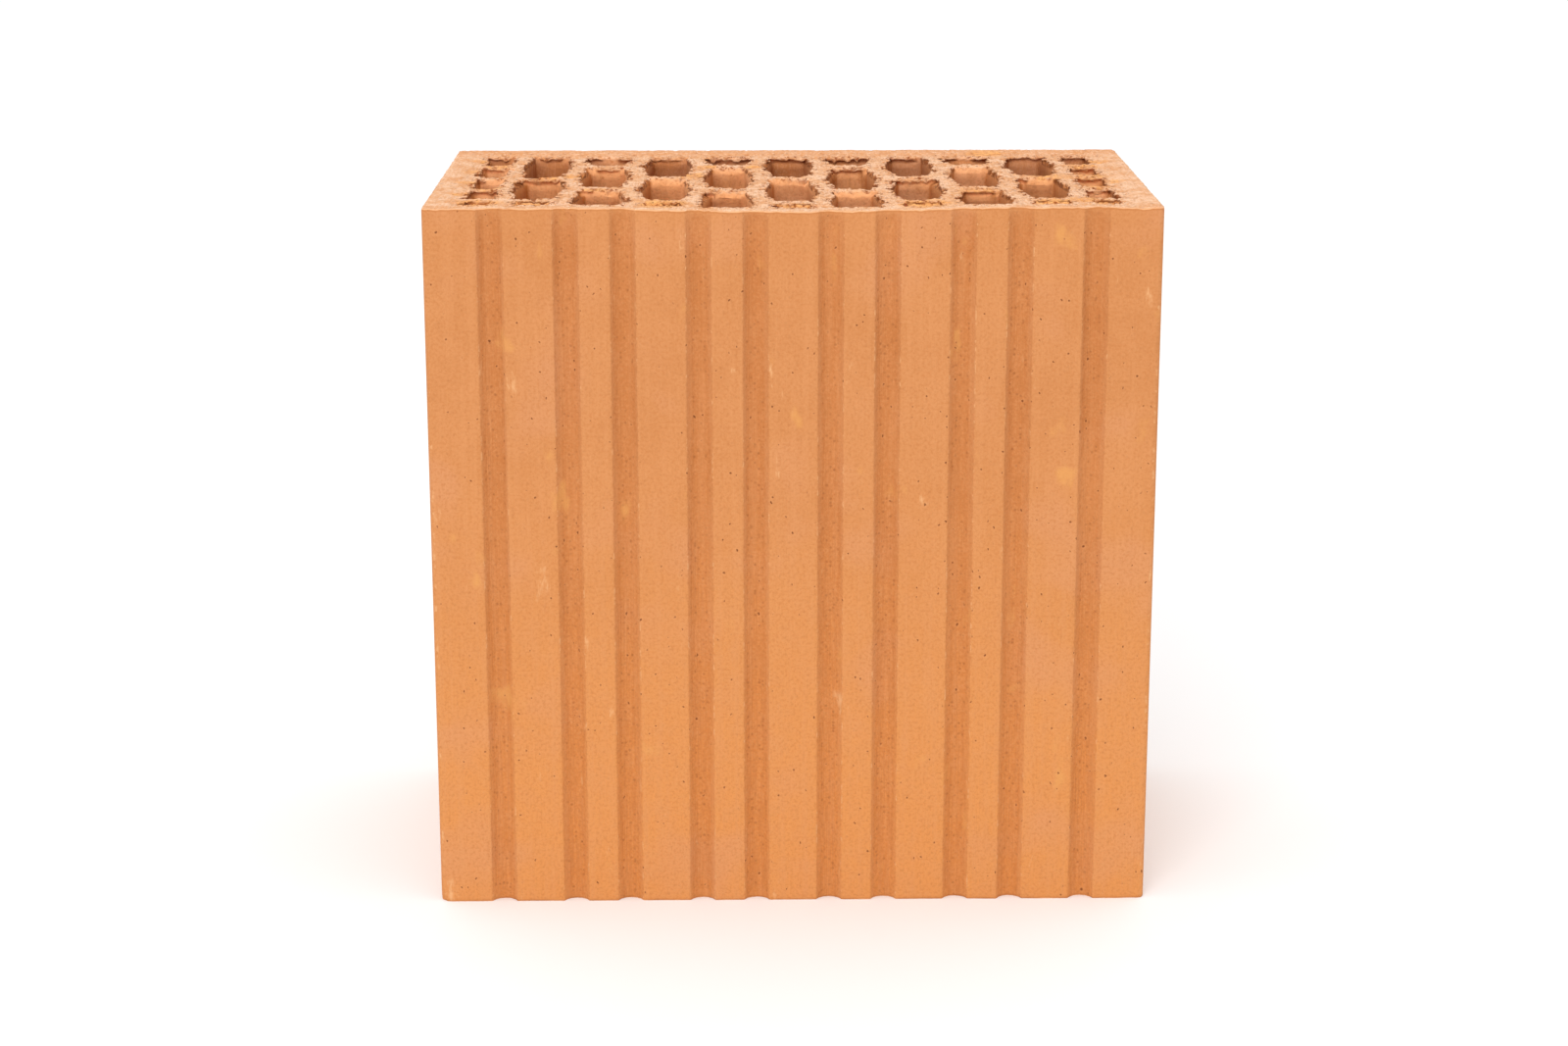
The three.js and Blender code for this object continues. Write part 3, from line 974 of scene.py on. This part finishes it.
def drawn_face():
    """Smooth outer clay with upright die lines, darker and lined more strongly in the plaster keys. Its
    pinholes and specks are painted shade, with a painted highlight round the pinholes.
    """
    material, tree, shader, place = new_finish("drawn_face", 0.82)
    along, across_wall, height = axes(tree, place)
    grit = use(tree, GRIT, Vector=place, Size=1.0 * MM)
    lines = use(tree, DRAG, Vector=place, Stretch=UPRIGHT)
    wobble = put(tree, "ShaderNodeTexNoise", {"Vector": place, "Scale": 1 / MM, "Detail": 0.0})
    ragged = blend(tree, RAGGED, place, wobble.outputs["Color"])
    pits = use(tree, PINHOLES, Vector=stretched(tree, ragged, (1, 1, 0.75)), Spacing=2.3 * MM,
               Radius=0.44 * MM, Share=0.26)

    patchy = cloud(tree, place, 26 * MM)
    pinkish = cloud(tree, place, 34 * MM, shift=0.27)
    smears = cloud(tree, stretched(tree, place, (1, 1, 0.6)), 15 * MM, 3.0, 0.6, 1.3)
    scuffs = cloud(tree, stretched(tree, place, (1, 1, 0.35)), 8 * MM, 4.0, 0.7, 2.1)
    chipped = ramp(tree, cloud(tree, place, 4 * MM, 3.0, 0.7, 3.3), 0.56, 0.66, 0.6)

    behind_face = reckon(tree, "SUBTRACT", HIGH.y, reckon(tree, "ABSOLUTE", across_wall))
    on_wall_face = reckon(tree, "LESS_THAN", reckon(tree, "ABSOLUTE", along), HIGH.x - 1.5 * MM)
    wavering = total(tree, (behind_face, 1.0), (patchy, -1.6 * MM), (lines["Broad"], -0.5 * MM))
    key = times(tree, ramp(tree, wavering, -0.1 * MM, 1.3 * MM), on_wall_face)
    key = times(tree, key, ramp(tree, height, HEIGHT - 1 * MM, HEIGHT - 16 * MM, bottom=0.35))
    # The rounded lips of the keys and the worn rims, broken up by chipped: a painted highlight there,
    # partly scuffed clay.
    lip = times(tree, ramp(tree, behind_face, 0.02 * MM, 0.12 * MM),
                ramp(tree, behind_face, 0.7 * MM, 0.3 * MM))

    gritty = total(tree, (grit["Grain"], 1.0), (times(tree, key, grit["Grain"]), 0.5), (key, -0.25))
    specks = times(tree, grit["Speck"], total(tree, (key, 0.3), (0.1, 1.0)))
    streaks = times(tree, lines["Fine"], total(tree, (key, 0.36), (0.14, 1.0)))
    fresh = reading(tree, "fresh_cut")
    torn_rim = total(tree, (fresh, 1.0), (grit["Mottle"], -0.5))
    colour = layered(
        tree, LAND,
        (ramp(tree, patchy, 0.3, 0.7, 0.45), LAND_PALE),
        # Toward the foot: the clay's warmer tone, and painted light against the lamp's falloff.
        (ramp(tree, height, 190 * MM, 20 * MM), LAND_WARM_AND_LIT),
        (ramp(tree, pinkish, 0.52, 0.7, 0.5), LAND_PINK),
        (key, KEY_STAIN, "MULTIPLY"),
        (ramp(tree, grit["Mottle"], 0.2, 1.0, 0.25), LAND_PALE),
        (ramp(tree, gritty, 0.6, 0.05, 0.5), LAND_DARK),
        (ramp(tree, gritty, 0.6, 0.95, 0.4), LAND_PALE),
        (specks, PIT_SHADE),
        # painted highlight on lips and worn rims, partly scuffed clay
        (times(tree, lip, chipped), PALE_SCUFF_AND_HIGHLIGHT),
        (streaks, LAND_DARK),
        (ramp(tree, lines["Broad"], 0.5, 1.0, 0.22), LAND_PALE),
        (ramp(tree, smears, 0.62, 0.74, 0.7), OCHRE),
        (ramp(tree, scuffs, 0.65, 0.76, 0.8), PALE_SCUFF_AND_HIGHLIGHT),
        # Pinholes are only painted: a pale painted highlight round each, and painted shade inside.
        (times(tree, pits["Rim"], 0.25), LAND_PALE),
        (times(tree, pits["Hole"], 0.9), PIT_SHADE),
        (ramp(tree, fresh, 0.0, 0.15, 0.5), LAND_DARK),
        (ramp(tree, torn_rim, 0.25, 0.65, 0.8), BED))

    rough_lines = times(tree, lines["Fine"], total(tree, (key, 0.05), (0.02, 1.0)))
    relief = total(tree, (grit["Grain"], 0.09), (grit["Mottle"], 0.08), (rough_lines, 1.0),
                   (lines["Broad"], 0.04))
    dress(tree, shader, colour, relief)
    return material


def torn_group():
    """Clay torn by the wire: granular and pitted, and ochre where dragged clay has dried. Ochre adds
    more of that. Its pits, gaps, specks, cracks and deep dents get painted shade."""
    tree, given, result = new_group("torn_clay", {"Vector": "Vector", "Ochre": "Float"},
                                    {"Color": "Color", "Height": "Float"})
    place = given["Vector"]
    grit = use(tree, GRIT, Vector=place, Size=1.2 * MM)
    lines = use(tree, DRAG, Vector=place, Stretch=ALONG_Y)
    _, toward_rear, _ = axes(tree, place)

    patchy = cloud(tree, place, 9 * MM, 3.0, 0.6, 0.7)
    crusted = ramp(tree, cloud(tree, place, 2.5 * MM, 3.0, 0.6, 5.1), 0.35, 0.65)
    gap_shade = ramp(tree, cloud(tree, place, 1.6 * MM, 2.0, 0.7, 8.3), 0.57, 0.61)
    dried = blend(tree, crusted, CRUST, CRUST_PALE)
    ochre = reckon(tree, "MAXIMUM", reading(tree, "ochre"), given["Ochre"])
    webbed = reading(tree, "webbed")
    sunken = reading(tree, "sunken")
    # Painted shadow round the edge of the sunken clay.
    film_rim_shadow = times(tree, ramp(tree, sunken, 0.1, 0.4), ramp(tree, sunken, 0.9, 0.6))
    # Painted shade in the deep dents.
    dent_shade = total(tree, (reading(tree, "dent_shade"), 1.0), (crusted, -0.4))
    colour = layered(
        tree, BED,
        (ramp(tree, patchy, 0.4, 0.62), BED_PALE),
        (ramp(tree, patchy, 0.46, 0.34, 0.5), BED_WARM),
        (ramp(tree, toward_rear, 50 * MM, 62 * MM, 0.7), BED_WARM),
        (ramp(tree, grit["Grain"], 0.5, 0.9, 0.8), BED_PALE),
        (ramp(tree, grit["Grain"], 0.42, 0.1, 0.8), BED_WARM),
        (ramp(tree, lines["Fine"], 0.4, 1.0, 0.4), BED_WARM),
        (times(tree, reading(tree, "dragged"), 0.3), BED_WARM),
        (times(tree, ochre, ramp(tree, crusted, 0.1, 0.7, 0.95, bottom=0.35)), dried),
        # Painted shade in the gaps, specks and pits of the torn clay, more beside the mouths, and in the
        # cracks of the sunken clay.
        (times(tree, gap_shade, total(tree, (webbed, 0.8), (0.06, 1.0))), TORN_PIT_SHADE),
        (times(tree, grit["Speck"], total(tree, (webbed, 0.5), (0.3, 1.0))), TORN_PIT_SHADE),
        (times(tree, reading(tree, "pitted"), 0.7), TORN_PIT_SHADE),
        (times(tree, sunken, 0.8), dried),
        (times(tree, sunken, ramp(tree, crusted, 0.35, 0.1, 0.8)), TORN_PIT_SHADE),
        (times(tree, film_rim_shadow, ramp(tree, patchy, 0.62, 0.42, 0.95, bottom=0.1)), DEEP_SHADE),
        (ramp(tree, dent_shade, 0.1, 0.5, 0.8), DEEP_SHADE))
    height = total(tree, (grit["Grain"], 0.27), (grit["Mottle"], 0.14), (lines["Fine"], 0.08),
                   (lines["Broad"], 0.07))
    link(tree, result, Color=colour, Height=height)
    return tree


TORN_CLAY = torn_group()


def show_torn_clay(tree, shader, place, ochre):
    torn = use(tree, TORN_CLAY, Vector=place, Ochre=ochre)
    dress(tree, shader, torn["Color"], torn["Height"])


def cut_bed():
    """A bed torn by the cutting wire."""
    material, tree, shader, place = new_finish("cut_bed", 0.92)
    show_torn_clay(tree, shader, place, 0.0)
    return material


def crust():
    """Crumbs on the bed, many of them dried to ochre."""
    material, tree, shader, place = new_finish("crust", 0.95)
    dried = ramp(tree, cloud(tree, place, 5 * MM, shift=2.4), 0.45, 0.6, 0.7)
    show_torn_clay(tree, shader, place, dried)
    return material


def cell_wall():
    """Walls drawn by the cores: streaked upright, pinker and darker in places, torn at the mouth. They
    carry painted light under the mouth and painted shade on rear and side walls, in cracks and pinholes.
    """
    material, tree, shader, place = new_finish("cell_wall", 0.88)
    grit = use(tree, GRIT, Vector=place, Size=1.0 * MM)
    lines = use(tree, DRAG, Vector=place, Stretch=UPRIGHT)
    pits = use(tree, PINHOLES, Vector=place, Spacing=3 * MM, Radius=0.7 * MM, Share=0.3)
    _, toward_rear, height = axes(tree, place)
    patchy = cloud(tree, place, 22 * MM, shift=0.9)
    cracks = ramp(tree, cloud(tree, place, 1.8 * MM, 2.0, 0.6, 6.2), 0.42, 0.52, 0.8)
    # Painted light on the walls just under the mouth, less toward the rear and none in the rearmost
    # cells.
    painted_mouth_light = times(tree, ramp(tree, height, HEIGHT - 12 * MM, HEIGHT - 2 * MM, 0.6),
                   ramp(tree, toward_rear, 44 * MM, 30 * MM))
    torn = use(tree, TORN_CLAY, Vector=place, Ochre=0.0)
    colour = layered(
        tree, CELL,
        (ramp(tree, patchy, 0.4, 0.65), CELL_PINK),
        (painted_mouth_light, CELL_PAINTED_LIGHT),
        # painted shade on the rearmost walls
        (ramp(tree, toward_rear, 30 * MM, 48 * MM), REAR_CELL_SHADE, "MULTIPLY"),
        # Painted shade on the side walls.
        (reading(tree, "side_shade"), SIDE_WALL_SHADE, "MULTIPLY"),
        (ramp(tree, lines["Broad"], 0.45, 1.0, 0.3), CELL_DARK),
        (ramp(tree, lines["Fine"], 0.4, 1.0, 0.3), CELL_PINK),
        (ramp(tree, grit["Grain"], 0.5, 0.0, 0.4), CELL_DARK),
        # painted shade inside the pinholes
        (times(tree, pits["Hole"], 0.6), CELL_DARK),
        (reading(tree, "fresh_cut"), torn["Color"]),
        # painted shade in the cracks under the sides of the mouth, broken up by noise
        (times(tree, reading(tree, "crack_shade"), cracks), DEEP_SHADE))
    relief = total(tree, (grit["Grain"], 0.10), (lines["Broad"], 0.05), (lines["Fine"], 0.02))
    dress(tree, shader, colour, relief)
    return material


def pale_floor():
    material = bpy.data.materials.new("pale_floor")
    material.use_nodes = True
    shader = material.node_tree.nodes["Principled BSDF"]
    shader.inputs["Base Color"].default_value = (*FLOOR_WHITE, 1)
    shader.inputs["Roughness"].default_value = FLOOR_ROUGHNESS
    return material


clay_block({"drawn_face": drawn_face(), "cut_bed": cut_bed(), "cell_wall": cell_wall(), "crust": crust()})


# -------- studio

FLOOR_REACH = 15                 # from its middle to each side
SKY_STRENGTH = 1.06
CAMERA_PLACE = (-0.0166, -1.0387, 0.3858)
CAMERA_DOWN = 14.619             # degrees that it looks down
CAMERA_TURN = -0.8               # and turns aside
FOCAL_LENGTH = 69.48             # mm, on a sensor of this width
SENSOR_WIDTH = 36


def studio_floor():
    bm = bmesh.new()
    bmesh.ops.create_grid(bm, x_segments=1, y_segments=1, size=FLOOR_REACH)
    floor = as_object(bm, "floor", pale_floor())


def add_light(name, place, aim, size, power):
    light = bpy.data.lights.new(name, "AREA")
    light.energy = power
    light.size = size
    lamp = in_scene(name, light)
    lamp.location = place
    lamp.rotation_euler = (Vector(aim) - Vector(place)).to_track_quat("-Z", "Y").to_euler()


def studio_light():
    world = bpy.data.worlds.new("studio")
    world.use_nodes = True
    sky = world.node_tree.nodes["Background"]
    sky.inputs["Color"].default_value = (1, 1, 1, 1)
    sky.inputs["Strength"].default_value = SKY_STRENGTH
    bpy.context.scene.world = world
    bpy.context.scene.view_settings.view_transform = "Standard"
    add_light("key", place=(-0.95, -3.9, 2.4), aim=(0, 0, 0.12), size=2.8, power=98)


def camera_view():
    camera = bpy.data.cameras.new("camera")
    camera.sensor_width = SENSOR_WIDTH
    camera.lens = FOCAL_LENGTH
    view = in_scene("camera", camera)
    view.location = CAMERA_PLACE
    view.rotation_euler = (math.radians(90 - CAMERA_DOWN), 0, math.radians(CAMERA_TURN))
    bpy.context.scene.camera = view


studio_floor()
studio_light()
camera_view()
